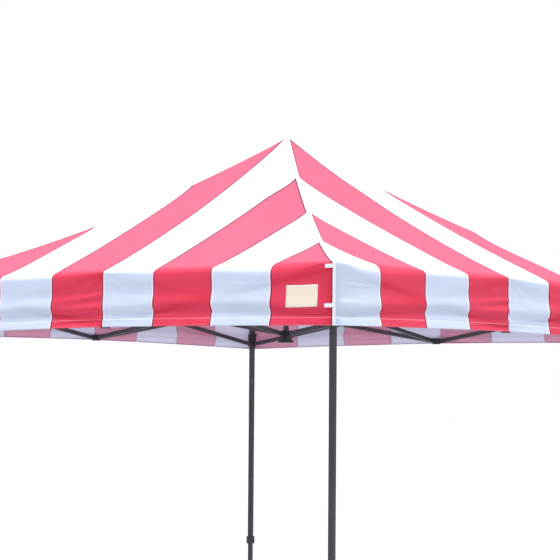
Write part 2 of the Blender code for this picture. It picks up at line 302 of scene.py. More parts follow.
def coatMaterial(name, wear):
    # powder coat with an orange peel skin, faint dust and rubbed places
    material, tree, shader = startMaterial(name, 0.42, 0.0)
    peel = objectNoise(tree, 620.0, 2.0)
    cloud = objectNoise(tree, 9.0, 5.0)
    scratch = objectNoise(tree, 46.0, 6.0, (1, 1, 0.25), 0.7)
    dusty = remap(tree, cloud, 0.42, 0.75, 0.0, 0.45)
    base = mixColour(tree, dusty, coatFinish["face"], coatFinish["dust"])
    rubbed = remap(tree, scratch, 0.70 - wear, 0.76 - wear * 0.8, 0.0, 1.0)
    base = mixColour(tree, rubbed, base, coatFinish["bare"])
    tree.links.new(base, shader.inputs["Base Color"])
    tree.links.new(remap(tree, cloud, 0.3, 0.7, 0.36, 0.52), shader.inputs["Roughness"])
    tree.links.new(mathNode(tree, "MULTIPLY", rubbed, 0.8), shader.inputs["Metallic"])
    bump(tree, shader, peel, 0.25, 0.0004)
    return material


def plasticMaterial(name, face=colour(0.018, 0.018, 0.020)):
    material, tree, shader = startMaterial(name, 0.5)
    grain = objectNoise(tree, 900.0, 3.0)
    cloud = objectNoise(tree, 22.0, 4.0)
    lighter = colour(face[0] * 2.2, face[1] * 2.2, face[2] * 2.2)
    tree.links.new(mixColour(tree, remap(tree, cloud, 0.4, 0.7, 0.0, 0.6), face, lighter),
                   shader.inputs["Base Color"])
    tree.links.new(remap(tree, cloud, 0.3, 0.7, 0.42, 0.62), shader.inputs["Roughness"])
    bump(tree, shader, grain, 0.3, 0.0003)
    return material


def zincMaterial(name):
    material, tree, shader = startMaterial(name, 0.34, 1.0)
    cloud = objectNoise(tree, 160.0, 4.0)
    tree.links.new(mixColour(tree, remap(tree, cloud, 0.35, 0.7, 0.0, 1.0), colour(0.20, 0.20, 0.21),
                             colour(0.11, 0.11, 0.115)), shader.inputs["Base Color"])
    tree.links.new(remap(tree, cloud, 0.3, 0.7, 0.28, 0.46), shader.inputs["Roughness"])
    bump(tree, shader, cloud, 0.2, 0.0002)
    return material


cloth = clothMaterial("stripedPolyester", clothFinish["outside"], True)
lining = clothMaterial("coatedBacking", clothFinish["inside"], False)
tape = tapeMaterial("whiteBindingTape", colour(0.93, 0.94, 0.97))
strap = tapeMaterial("blackWebbing", colour(0.020, 0.020, 0.023))
thread = threadMaterial("whiteThread", colour(0.96, 0.98, 1.00))
patchCloth = tapeMaterial("creamPatch", colour(0.97, 0.82, 0.65), 0.0012)
coat = coatMaterial("charcoalPowderCoat", 0.0)
coatEdge = coatMaterial("rubbedPowderCoat", 0.09)
plastic = plasticMaterial("blackNylon")
zinc = zincMaterial("zincPlatedSteel")
print("materials made")


# Shape of the sewn cover. A place on one side's cloth is (x, along): x runs along the side, along runs
# from the peak out to the eave (0 to half) and then down the valance (half to half + 1 at the hem).

coverShape = {
    "peakZ": 3.110,
    "eaveZ": 2.250,
    "sagMiddle": 0.222,        # hollow of the roof along the middle of a side
    "sagHip": 0.334,           # further hollow towards the hips
    "sagHipEdge": -0.165,      # the hips themselves are held up a little by their binding
    "sagHipOut": 0.084,        # more hollow towards the corners
    "roundSupport": 0.006,     # eave radius over the mid-side block and the legs
    "roundBetween": 0.042,     # eave radius between them
    "roundNarrow": 0.42,       # share of that radius near the mid-side block
    "squareCorner": 0.062,     # the eave is sharp over the corner tabs
    "eaveDip": 0.008,
    "hemCorner": 1.944,
    "hemMiddle": 1.962,
    "cell": 0.0173,            # size of the cloth's mesh cells
    "seamCells": (0.004, 0.009),
    "valanceRows": 46,
    "valanceLevel": 0.294,     # height that the folds are measured from
    "hemHeight": 0.040,
    "thickness": 0.0012,
    "patchCentre": (1.334, 2.090),
    "patchSize": (0.186, 0.108),
}
bulge = {"hollow": 0.0034, "belly": 0.0080, "groove": 0.0092, "flare": 0.0078, "grooveAt": 0.745,
         "ripple": 0.0016, "fine": 0.0008, "gather": 0.0062, "rays": 0.0022, "corner": 0.0012,
         "deepest": 0.0074}
patchSides = (0,)
# how far each stripe's edge is off its even place, for each side
stripeShift = ((0, 0.004, -0.003, 0.010, 0.006, -0.026, -0.012, -0.015, 0),
               (0, -0.011, -0.007, -0.007, -0.011, 0.004, 0.007, -0.004, 0),
               (0, -0.010, -0.014, -0.012, -0.015, -0.011, -0.014, -0.012, 0),
               (0, -0.008, -0.010, -0.013, -0.010, -0.012, -0.009, -0.006, 0))
# small creases: side, place along it, share of the way down, half length, height
creases = ((1, -1.346, 0.33, 0.085, 0.0034), (1, -1.40, 0.62, 0.070, 0.0020), (0, 0.93, 0.30, 0.120, 0.0012),
           (3, -0.95, 0.42, 0.090, 0.0018), (2, 0.62, 0.36, 0.100, 0.0020), (0, -1.05, 0.38, 0.110, 0.0016),
           (1, 0.52, 0.28, 0.080, 0.0014))


def smoothStep(value):
    value = np.clip(value, 0, 1)
    return value * value * (3 - 2 * value)


def softNoise(x, y, seed, size=64):
    # smooth value noise from -1 to 1
    table = np.random.default_rng(seed).uniform(-1, 1, (size, size))
    x0, y0 = np.floor(x).astype(int), np.floor(y).astype(int)
    fx, fy = smoothStep(x - x0), smoothStep(y - y0)
    a, b = table[x0 % size, y0 % size], table[(x0 + 1) % size, y0 % size]
    c, d = table[x0 % size, (y0 + 1) % size], table[(x0 + 1) % size, (y0 + 1) % size]
    return (a * (1 - fx) + b * fx) * (1 - fy) + (c * (1 - fx) + d * fx) * fy


def spanShape(x):
    # 0 over the mid-side block and the legs, 1 between them
    return np.sin(pi * np.clip(np.abs(x) / half, 0, 1))


def eaveRound(x):
    shape = coverShape
    away = np.abs(x)
    narrow = shape["roundNarrow"]
    share = narrow * smoothStep(away / 0.35) + (1 - narrow) * smoothStep((away - 0.78) / 0.30)
    share = share * smoothStep((half - shape["squareCorner"] - away) / 0.20)
    return shape["roundSupport"] + (shape["roundBetween"] - shape["roundSupport"]) * share


def slopeHeight(x, out):
    shape = coverShape
    share = out / half
    across = np.clip(x / np.maximum(out, 0.001), -1, 1)
    hollow = shape["sagMiddle"] + (shape["sagHip"] + shape["sagHipOut"] * share) * across ** 2
    hollow = hollow + shape["sagHipEdge"] * across ** 6
    rise = shape["peakZ"] - shape["eaveZ"]
    dip = shape["eaveDip"] * spanShape(x) * smoothStep((out - 0.95) / (half - 0.95))
    return shape["eaveZ"] + rise * (1 - share) * (1 - hollow * share) - dip


def roofHeight(x, out):
    # the slope, rounded over the eave
    radius = eaveRound(x)
    start = half - radius
    turn = 1 - np.sqrt(np.clip((half - out) / radius, 0, 1))
    first, corner = slopeHeight(x, start), slopeHeight(x, np.full_like(x, half))
    curve = (1 - turn) ** 2 * first + 2 * turn * (1 - turn) * corner + turn ** 2 * (corner - radius)
    return np.where(out > start, curve, slopeHeight(x, out))


def hemHeight(x):
    shape = coverShape
    return shape["hemMiddle"] + (shape["hemCorner"] - shape["hemMiddle"]) * (np.abs(x) / half) ** 1.6


def valanceTop(x):
    return slopeHeight(x, np.full_like(x, half)) - eaveRound(x)


def creaseHeight(x, level, side):
    total = np.zeros(np.broadcast(x, level).shape)
    for where, place, share, length, height in creases:
        if where == side:
            away = (level - share - 0.004 * np.sin((x - place) * 22)) / 0.015
            total = total + height * np.exp(-((x - place) / length) ** 4 - away ** 2)
    return total


def fanFolds(reach, angle, middle, width, count):
    # short folds that spread from one point, strongest at the middle distance
    return np.exp(-((reach - middle) / width) ** 2) * np.sin(count * angle + 0.6)


def valanceBulge(x, down, side):
    # how far the cloth stands proud of the valance's plane; down is 0 at the eave, 1 at the hem
    seed = 10 * side
    height = valanceTop(x) - hemHeight(x)
    level = 1 - (1 - down) * height / coverShape["valanceLevel"]     # the same, on one level height
    strength = 0.92 + 0.24 * softNoise(x * 1.5 + 20, x * 0, seed + 1)
    centre = bulge["grooveAt"] + 0.10 * (np.abs(x) / half) ** 3
    centre = centre + 0.030 * softNoise(x * 1.6 + 20, x * 0, seed + 2)
    wave = bulge["belly"] * np.exp(-((level - centre + 0.15) / 0.12) ** 2)
    wave = wave - bulge["groove"] * np.exp(-((level - centre) / 0.056) ** 2)
    wave = wave - bulge["hollow"] * np.exp(-((level - 0.36) / 0.15) ** 2)
    wave = wave * strength + bulge["flare"] * smoothStep((level - 0.83) / 0.17)
    ripple = softNoise(x * 1.9 + 20, level * 4.2 + x * 0.3, seed + 3)
    wave = wave + bulge["ripple"] * ripple
    wave = wave + bulge["fine"] * softNoise(x * 5.5 + 30, level * 9.0 - x * 0.8, seed + 4)
    lean = np.where(x < 0, 1.0, 0.15)                # folds gather on one side of the mid-side block
    near = np.exp(-(x / 0.27) ** 2) * lean * smoothStep((down - 0.22) / 0.3)
    wave = wave + bulge["gather"] * near * np.sin(2 * pi * (5.4 * down - 0.7 * np.abs(x)) + 1.6 * ripple)
    reach = np.sqrt(x ** 2 + (down * height) ** 2)
    angle = np.arctan2(down * height, np.abs(x) + 0.001)
    wave = wave + bulge["rays"] * fanFolds(reach, angle, 0.10, 0.09, 12) * np.maximum(lean, 0.35)
    fromCorner, below = half - np.abs(x), (down - 0.60) * height
    reach, angle = np.sqrt(fromCorner ** 2 + below ** 2), np.arctan2(below, fromCorner)
    wave = wave + bulge["corner"] * fanFolds(reach, angle, 0.09, 0.08, 7.5) * np.where(x < 0, 1.0, 0.4)
    wave = wave + creaseHeight(x, level, side)
    wave = wave * (1 - 0.60 * np.exp(-(x / 0.040) ** 2))
    wave = wave * smoothStep(down / 0.16) * smoothStep(fromCorner / 0.09)
    if side in patchSides:
        # the sewn patch stiffens the cloth under it
        cx, cz = coverShape["patchCentre"]
        z = valanceTop(x) - down * height
        wave = wave * (1 - 0.6 * np.exp(-((x - cx) / 0.13) ** 4 - ((z - cz) / 0.07) ** 4))
    deepest = bulge["deepest"]
    wave = np.where(wave < 0, -deepest * np.tanh(-wave / deepest), wave)
    above = (down - 1) * height + coverShape["hemHeight"]
    return wave + 0.0007 * smoothStep(above / 0.002 + 0.5) - 0.0011 * np.exp(-(above / 0.0022) ** 2)


def roofLift(x, out, side):
    # faint puckers of the roof cloth, none at the hips
    seed = 10 * side + 5
    hold = smoothStep((out - np.abs(x)) / 0.20) * smoothStep((half - out) / 0.12)
    lift = 0.0035 * softNoise(x * 3.0 + 20, out * 2.2, seed)
    lift = lift + 0.0016 * softNoise(x * 8.0 + 30, out * 5.0, seed + 1)
    return lift * hold


def seamRidge(x):
    # a felled seam stands a little proud on the white side of each stripe's edge
    stripe = (x + half) / stripeWidth
    index = np.floor(stripe)
    inside = np.minimum(stripe - index, index + 1 - stripe) * stripeWidth
    white = (index % 2 == 0) & (np.abs(x) < half - 0.03)
    return np.where(white, 0.0007 * (1 - smoothStep((inside - 0.006) / 0.004)), 0.0)


def shifted(x, along, side):
    # the hips and the corners keep their places
    edges = np.linspace(-half, half, len(stripeShift[side]))
    keep = smoothStep((np.minimum(along, half) - np.abs(x)) / 0.25)
    return x + np.interp(x, edges, stripeShift[side]) * keep


def clothPoints(x, along, side, proud=0.0):
    # proud lifts a point off the cloth, for the tapes and stitches on it
    x, along = np.broadcast_arrays(np.asarray(x, float), np.asarray(along, float))
    ridge = seamRidge(x)
    x = shifted(x, along, side)
    onRoof = along <= half
    out = np.minimum(along, half)
    down = np.clip(along - half, 0, 1)
    top, hem = valanceTop(x), hemHeight(x)
    roofZ = roofHeight(x, out) + roofLift(x, out, side) + ridge + proud
    valanceZ = top - (top - hem) * down
    stand = (valanceBulge(x, down, side) + ridge * smoothStep(down / 0.05)) * (down > 0)
    y = np.where(onRoof, -out, -(half + stand + proud))
    z = np.where(onRoof, roofZ, valanceZ)
    return np.stack([x, y, z], axis=-1)


def turned(points, side):
    # a point of the front side's place, taken round the mast to the given side
    points = np.asarray(points, float)
    c, s = round(cos(side * pi / 2)), round(sin(side * pi / 2))
    return np.stack([points[..., 0] * c - points[..., 1] * s,
                     points[..., 0] * s + points[..., 1] * c, points[..., 2]], axis=-1)


def clothColumns():
    # places of the mesh's columns: even cells, with finer ones beside each stripe's edge
    shape = coverShape
    count = round(half / shape["cell"])
    places = {round(half * step / count, 6) for step in range(count + 1)}
    for seam in range(5):
        middle = seam * stripeWidth
        near = [place for place in places if 0 < abs(place - middle) < 0.006]
        places -= set(near)
        for offset in shape["seamCells"]:
            places |= {round(middle + offset, 6), round(middle - offset, 6)}
        places.add(round(middle, 6))
    places = sorted(place for place in places if 0 <= place <= half + 1e-6)
    return np.array(sorted({-place for place in places} | set(places)))


def coverMesh(side):
    columns = clothColumns()
    extra = half - coverShape["roundBetween"] * np.linspace(1, 0, 13) ** 2
    outs = np.array(sorted(set(np.round(np.abs(columns), 6)) | set(np.round(extra, 6))))
    even = np.linspace(0, 1, coverShape["valanceRows"] + 1)[1:]
    foldAt = 1 - coverShape["hemHeight"] / 0.30
    nearFold = {round(foldAt + step, 5) for step in (-0.012, -0.006, 0, 0.006, 0.012)}
    downs = sorted(set(np.round(even, 5)) | nearFold)
    rows = np.concatenate([outs, half + np.array(downs)])
    x, along, starts, first = [], [], [], []
    for column in columns:
        start = int(np.searchsorted(outs, abs(column) - 1e-5))
        starts.append(start)
        first.append(len(x) - start)
        x += [column] * (len(rows) - start)
        along += list(rows[start:])
    points = clothPoints(np.array(x), np.array(along), side)
    faces = []
    for index in range(len(columns) - 1):
        a, b = first[index], first[index + 1]
        top = max(starts[index], starts[index + 1])
        for row in range(starts[index], top):            # left column reaches further up
            faces.append((a + row, a + row + 1, b + top))
        for row in range(starts[index + 1], top):
            faces.append((b + row, a + top, b + row + 1))
        for row in range(top, len(rows) - 1):
            faces.append((a + row, a + row + 1, b + row + 1, b + row))
    x, along = np.array(x), np.array(along)
    height = valanceTop(x) - hemHeight(x)
    up = np.where(along > half, (1 - (along - half)) * height, height + (half - along) * 1.15)
    toHip = np.where(along > half, half - np.abs(x), (np.minimum(along, half) - np.abs(x)) * sqrt(0.5))
    return turned(points, side), faces, np.stack([x + half, up], axis=-1), toHip


def makeCover(side):
    name = sides[side]
    points, faces, uvs, toHip = coverMesh(side)
    mesh = bpy.data.meshes.new(name + "_cloth")
    mesh.from_pydata(points.tolist(), [], faces)
    layer = mesh.uv_layers.new(name="cloth")
    vertexOf = np.zeros(len(mesh.loops), int)
    mesh.loops.foreach_get("vertex_index", vertexOf)
    layer.data.foreach_set("uv", uvs[vertexOf].ravel())
    hip = mesh.attributes.new("hipDistance", "FLOAT", "POINT")
    hip.data.foreach_set("value", toHip)
    for face in (cloth, lining):
        mesh.materials.append(face)
    mesh.shade_smooth()
    obj = linkObject(name + "_cloth", mesh)
    solid = obj.modifiers.new("cloth thickness", "SOLIDIFY")
    solid.thickness = coverShape["thickness"]
    solid.offset = -1
    solid.material_offset = 1
    return obj


# Each face's cloth and its trims ride on that face's cover body, each with a mesh of its own


def followCover(obj, side):
    name = sides[side]
    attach(obj, name + "_cover")
    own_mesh(obj)


covers = [makeCover(side) for side in range(4)]
print("cover cloth made,", sum(len(obj.data.polygons) for obj in covers), "faces")


# Tapes, tabs and the patch on the cover

def ribbonMesh(bm, left, right, lift, thick):
    # a flat tape between two rows of points on the cloth; lift is the outward direction at each
    rings = []
    for a, b, n in zip(left, right, lift):
        a, b, n = Vector(a), Vector(b), Vector(n)
        low, high = n * 0.0002, n * thick
        rings.append([bm.verts.new(p) for p in (a + low, b + low, b + high, a + high)])
    for one, two in zip(rings, rings[1:]):
        for k in range(4):
            bm.faces.new((one[k], one[(k + 1) % 4], two[(k + 1) % 4], two[k]))
    bm.faces.new(rings[0])
    bm.faces.new(list(reversed(rings[-1])))


tapes = {"bindingWidth": 0.0095, "bindingThick": 0.0011, "tabLength": 0.055, "tabWidth": 0.019,
         "tabThick": 0.0030, "tabHeights": (2.231, 2.041)}


def downAt(x, z):
    top, hem = valanceTop(np.array([x])), hemHeight(np.array([x]))
    return float(((top - z) / (top - hem))[0])


def bindingStrip(bm, side, end):
    # binding tape along a hip and down the corner of the valance, on this face's half
    width, thick = tapes["bindingWidth"], tapes["bindingThick"]
    outs = np.concatenate([np.linspace(0.004, half - 0.05, 60), half - 0.05 * np.linspace(1, 0, 12)[1:] ** 2])
    slant = width * sqrt(0.5)
    square = smoothStep((half - 0.008 - outs) / 0.030)       # 0 at the eave, where the tape turns down
    roofX = np.maximum(outs - width + (width - slant) * square, 0.0)
    roofOut = np.minimum(outs + slant * square, half)
    edge = [clothPoints(end * outs, outs, side)]
    inner = [clothPoints(end * roofX, roofOut, side)]
    downs = np.linspace(0.0, 1.0, 40)[1:]
    edge.append(clothPoints(np.full(len(downs), end * half), half + downs, side))
    inner.append(clothPoints(np.full(len(downs), end * (half - width)), half + downs, side))
    edge, inner = np.concatenate(edge), np.concatenate(inner)
    along = np.gradient(edge, axis=0)
    across = inner - edge
    normal = np.cross(along, across) * end
    normal /= np.maximum(np.linalg.norm(normal, axis=1, keepdims=True), 1e-9)
    normal *= np.where((normal[:, 1] < 0) | (normal[:, 2] > 0.2), 1, -1)[:, None]
    if end > 0:
        edge, inner = inner, edge
    ribbonMesh(bm, turned(edge, side), turned(inner, side), turned(normal, side), thick)


def meshFrom(bm, name, material):
    bmesh.ops.recalc_face_normals(bm, faces=bm.faces)
    mesh = bpy.data.meshes.new(name)
    bm.to_mesh(mesh)
    bm.free()
    mesh.materials.append(material)
    return linkObject(name, mesh)


def makeBinding(side):
    bm = bmesh.new()
    for end in (-1, 1):
        bindingStrip(bm, side, end)
    for z in tapes["tabHeights"]:
        xs = np.linspace(half - tapes["tabLength"], half - 0.001, 8)
        middle = half + np.array([downAt(x, z) for x in xs])
        step = tapes["tabWidth"] / 2 / 0.30
        upper = clothPoints(xs, np.maximum(middle - step, half), side)
        lower = clothPoints(xs, middle + step, side)
        outward = np.tile((0.0, -1.0, 0.0), (len(xs), 1))
        ribbonMesh(bm, turned(upper, side), turned(lower, side), turned(outward, side), tapes["tabThick"])
    return meshFrom(bm, sides[side] + "_binding", tape)


def makePatch(side):
    # plain patch sewn on the first red stripe
    bm = bmesh.new()
    cx, cz = coverShape["patchCentre"]
    w, h = coverShape["patchSize"]
    xs = np.linspace(cx - w / 2, cx + w / 2, 16)
    zs = np.linspace(cz + h / 2, cz - h / 2, 14)
    rows = []
    for z in zs:
        downs = np.array([downAt(x, z) for x in xs])
        rows.append(turned(clothPoints(xs, half + downs, side, 0.0013), side))
    verts = [[bm.verts.new(p) for p in row] for row in rows]
    for upper, lower in zip(verts, verts[1:]):
        for k in range(len(xs) - 1):
            bm.faces.new((upper[k], lower[k], lower[k + 1], upper[k + 1]))
    obj = meshFrom(bm, sides[side] + "_patch", patchCloth)
    obj.data.shade_smooth()
    solid = obj.modifiers.new("patch thickness", "SOLIDIFY")
    solid.thickness = 0.0009
    solid.offset = 0
    return settle(obj)


# Stitches by Geometry Nodes along rows of points

def newTree(name, inputs, output):
    tree = bpy.data.node_groups.new(name, "GeometryNodeTree")
    for label, kind in inputs.items():
        tree.interface.new_socket(label, in_out="INPUT", socket_type="NodeSocket" + kind)
    tree.interface.new_socket(output, in_out="OUTPUT", socket_type="NodeSocketGeometry")
    return tree, addNode(tree, "NodeGroupInput").outputs


def stitchTree():
    tree, start = newTree("rowOfStitches", {"Rows": "Geometry", "Pitch": "Float", "Stitch Length": "Float",
                                            "Thread Radius": "Float", "Material": "Material"}, "Stitches")
    curve = addNode(tree, "GeometryNodeMeshToCurve", {"Mesh": start["Rows"]}).outputs[0]
    even = addNode(tree, "GeometryNodeResampleCurve", {"Curve": curve, "Length": start["Pitch"]},
                   mode="LENGTH")
    lie = addNode(tree, "FunctionNodeAlignRotationToVector",
                  {"Vector": addNode(tree, "GeometryNodeInputTangent").outputs[0]}, axis="Z")
    stitch = addNode(tree, "GeometryNodeMeshCylinder", {"Vertices": 4, "Radius": start["Thread Radius"],
                                                        "Depth": start["Stitch Length"]})
    placed = addNode(tree, "GeometryNodeInstanceOnPoints",
                     {"Points": even.outputs[0], "Instance": stitch.outputs["Mesh"],
                      "Rotation": lie.outputs[0]})
    real = addNode(tree, "GeometryNodeRealizeInstances", {"Geometry": placed.outputs[0]})
    dressed = addNode(tree, "GeometryNodeSetMaterial", {"Geometry": real.outputs[0],
                                                        "Material": start["Material"]})
    addNode(tree, "NodeGroupOutput", {0: dressed.outputs[0]})
    return tree


def runTree(obj, tree, values):
    # sets the tree's inputs by their identifiers, then makes the result a plain mesh
    modifier = obj.modifiers.new(tree.name, "NODES")
    modifier.node_group = tree
    for item in tree.interface.items_tree:
        if item.in_out == "INPUT" and item.name in values:
            modifier[item.identifier] = values[item.name]
    return settle(obj)


stitches = {"pitch": 0.0060, "length": 0.0046, "thread": 0.00035, "seamRows": (0.0020, 0.0066)}
stitchRows = stitchTree()


def makeStitches(side):
    rows = []
    lift = 0.0004
    shape = coverShape
    for seam in range(1, 8):
        edge = seam * stripeWidth - half
        towardsWhite = 1 if seam % 2 == 0 else -1
        for offset in stitches["seamRows"]:
            x = edge + towardsWhite * offset
            outs = np.linspace(abs(x) + 0.012, half, 60)
            places = np.concatenate([outs, half + np.linspace(0, 0.985, 40)[1:]])
            rows.append(clothPoints(np.full(len(places), x), places, side, lift))
    xs = np.linspace(-half + 0.012, half - 0.012, 240)
    down = 1 - shape["hemHeight"] / (valanceTop(xs) - hemHeight(xs))
    rows.append(clothPoints(xs, half + down, side, 0.0010))
    if side in patchSides:
        cx, cz = shape["patchCentre"]
        w, h = (size / 2 - 0.004 for size in shape["patchSize"])
        frameXs = np.concatenate([np.linspace(-w, w, 12), [w] * 8, np.linspace(w, -w, 12), [-w] * 8])
        frameZs = np.concatenate([[h] * 12, np.linspace(h, -h, 8), [-h] * 12, np.linspace(-h, h, 8)])
        downs = np.array([downAt(cx + x, cz + z) for x, z in zip(frameXs, frameZs)])
        rows.append(clothPoints(cx + frameXs, half + downs, side, 0.0020))
    for end in (-1, 1):
        inset = tapes["bindingWidth"] * 0.8 * sqrt(0.5)
        outs = np.linspace(0.02, half - inset, 90)
        rows.append(clothPoints(end * (outs - inset), outs + inset, side, 0.0013))
        downs = np.linspace(0.02, 0.985, 30)
        x = np.full(len(downs), end * (half - tapes["bindingWidth"] * 0.8))
        rows.append(clothPoints(x, half + downs, side, 0.0013))
    points, edges = [], []
    for row in rows:
        start = len(points)
        points += turned(row, side).tolist()
        edges += [(start + k, start + k + 1) for k in range(len(row) - 1)]
    mesh = bpy.data.meshes.new(sides[side] + "_stitches")
    mesh.from_pydata(points, edges, [])
    obj = linkObject(sides[side] + "_stitches", mesh)
    return runTree(obj, stitchRows, {"Pitch": stitches["pitch"], "Stitch Length": stitches["length"],
                                     "Thread Radius": stitches["thread"], "Material": thread})


for side in range(4):
    trims = [makeBinding(side), makeStitches(side)]
    if side in patchSides:
        trims.append(makePatch(side))
    name = sides[side]
    followCover(covers[side], side)
    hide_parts(name + "_cover")
    for trim in trims:
        followCover(trim, side)
print("tapes, patches and stitches made")


# Frame: rounded copies of the CAD pieces with the real finishes

rounding = {"bar": 0.0022, "tube": 0.0030, "bracket": 0.0014, "plate": 0.0010, "mast": 0.0008}


def roundedCopy(node, radius, face, edge, segments, sharpest, cutter):
    bm = bmesh.new()
    bm.from_mesh(frame["nodes"][node].data)
    bmesh.ops.remove_doubles(bm, verts=bm.verts, dist=0.00002)
    bmesh.ops.dissolve_limit(bm, angle_limit=radians(0.5), verts=bm.verts, edges=bm.edges)
    mesh = bpy.data.meshes.new(node + "_rounded")
    bm.to_mesh(mesh)
    bm.free()
    mesh.materials.append(face)
    mesh.materials.append(edge)
    obj = linkObject(node + "_rounded", mesh)
    mesh.shade_smooth()
    if cutter:
        cut = obj.modifiers.new("holes", "BOOLEAN")
        cut.operation, cut.solver, cut.object = "DIFFERENCE", "EXACT", cutter
    soft = obj.modifiers.new("rounded edges", "BEVEL")
    soft.width = radius
    soft.segments = segments
    soft.limit_method = "ANGLE"
    soft.angle_limit = radians(sharpest)
    soft.harden_normals = True
    soft.material = 1
    settle(obj)
    if cutter:
        bpy.data.objects.remove(cutter)
    return obj


legHoles = {"stake": 0.0045, "stakeOut": 0.037, "step": 0.0040, "stepHeights": (0.60, 0.52, 0.44, 0.36),
            "tubeHalf": 0.0115}


def holeCutter(corner):
    # stake holes through the foot plate and height holes in the outer face of the lower tube
    x, y = legCentre(corner)
    bm = bmesh.new()
    aside = legHoles["stakeOut"]
    outer = x + (legHoles["tubeHalf"] if x > 0 else -legHoles["tubeHalf"])
    places = [(Matrix.Translation((x + i * aside, y + j * aside, 0.002)), legHoles["stake"], 0.020)
              for i in (-1, 1) for j in (-1, 1)]
    places += [(Matrix.Translation((outer, y, z)) @ Matrix.Rotation(pi / 2, 4, "Y"), legHoles["step"], 0.006)
               for z in legHoles["stepHeights"]]
    for place, radius, depth in places:
        bmesh.ops.create_cone(bm, cap_ends=True, segments=16, radius1=radius, radius2=radius,
                              depth=depth, matrix=place)
    return meshFrom(bm, corner + "_holes", coat)


def dress(node, radius, segments=2, sharpest=30, cutter=None, steel=True):
    face, edge = (coat, coatEdge) if steel else (plastic, plastic)
    obj = roundedCopy(node, radius, face, edge, segments, sharpest, cutter)
    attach(obj, frame["nodes"][node]["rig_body"])
    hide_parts(node)


for name in frame["nodes"]:
    if "_bar_" in name:
        dress(name, rounding["bar"], 3)
    elif name.endswith("_upper_tube"):
        dress(name, rounding["tube"], 4)
    elif name.endswith("_lower_leg"):
        dress(name, rounding["plate"], cutter=holeCutter(name.removesuffix("_lower_leg")))
    elif name == "centre_mast":
        dress(name, rounding["mast"], 2, 60)
    elif not name.endswith("_cover"):
        dress(name, rounding["bracket"], 3, steel=False)
print("frame dressed")


# Hook-and-loop straps that hold the cover to each leg

strapShape = {"height": 2.112, "width": 0.025, "thick": 0.0016, "inside": 0.0143,
              "tail": (0.0014, 0.021, 0.022)}


def makeStrap(corner):
    x, y = legCentre(corner)
    bm = bmesh.new()
    inner, outer = strapShape["inside"], strapShape["inside"] + strapShape["thick"]
    loops = []
    for size in (inner, outer):
        radius = 0.0032 if size == inner else 0.0046
        flat = size - radius
        ring = [(sx * flat + radius * cos(angle), sy * flat + radius * sin(angle))
                for sx, sy, first in ((1, 1, 0), (-1, 1, 1), (-1, -1, 2), (1, -1, 3))
                for angle in np.linspace(first, first + 1, 5) * pi / 2]
        for z in (-strapShape["width"] / 2, strapShape["width"] / 2):
            loops.append([bm.verts.new((x + px, y + py, strapShape["height"] + z)) for px, py in ring])
    order = (loops[0], loops[1], loops[3], loops[2])
    for one, two in zip(order, order[1:] + order[:1]):
        for k in range(len(one)):
            n = (k + 1) % len(one)
            bm.faces.new((one[k], one[n], two[n], two[k]))
    # the loose end lies on the face towards the mast
    inward = x * (1 - (outer + 0.0009) / abs(x))
    tail = Matrix.Translation((inward, y * 0.9995, strapShape["height"] - 0.002))
    tail = tail @ Matrix.Diagonal((*strapShape["tail"], 1))
    bmesh.ops.create_cube(bm, size=1.0, matrix=tail)
    obj = meshFrom(bm, corner + "_strap", strap)
    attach(obj, corner + "_leg")


for corner in corners:
    makeStrap(corner)
print("straps made")


# Bolts, nuts and spacers at every pivot, by Geometry Nodes

hardware = {"Head Radius": 0.0058, "Washer Radius": 0.0078, "Nut Radius": 0.0066, "Nut Height": 0.0048,
            "Spacer Radius": 0.0100, "Spacer Height": 0.0044}
stack = {"barFace": 0.0143, "lugFace": -0.0020}      # outer faces of a bar and its lug from the lug's middle
legAt = legCentre("front_right")[0]
jointPlaces = {joint["name"]: joint["pos_m"] for joint in frame["joints"]}
pivots = {"legIn": abs(jointPlaces["frame_fold"][1]), "blockIn": jointPlaces["front_right_low_pivot"][0],
          "topZ": jointPlaces["frame_fold"][2], "lowZ": jointPlaces["lower_hub_pivot"][2]}


def primitive(tree, kind, values, raised=0.0, scale=(1, 1, 1)):
    made = addNode(tree, kind, values).outputs["Mesh"]
    return addNode(tree, "GeometryNodeTransform",
                   {"Geometry": made, "Translation": (0, 0, raised), "Scale": scale}).outputs[0]


def cylinder(tree, vertices, radius, depth, raised=0.0):
    values = {"Vertices": vertices, "Radius": radius, "Depth": depth}
    return primitive(tree, "GeometryNodeMeshCylinder", values, raised)


def joined(tree, parts):
    node = tree.nodes.new("GeometryNodeJoinGeometry")
    for part in reversed(parts):
        tree.links.new(part, node.inputs[0])
    return node.outputs[0]


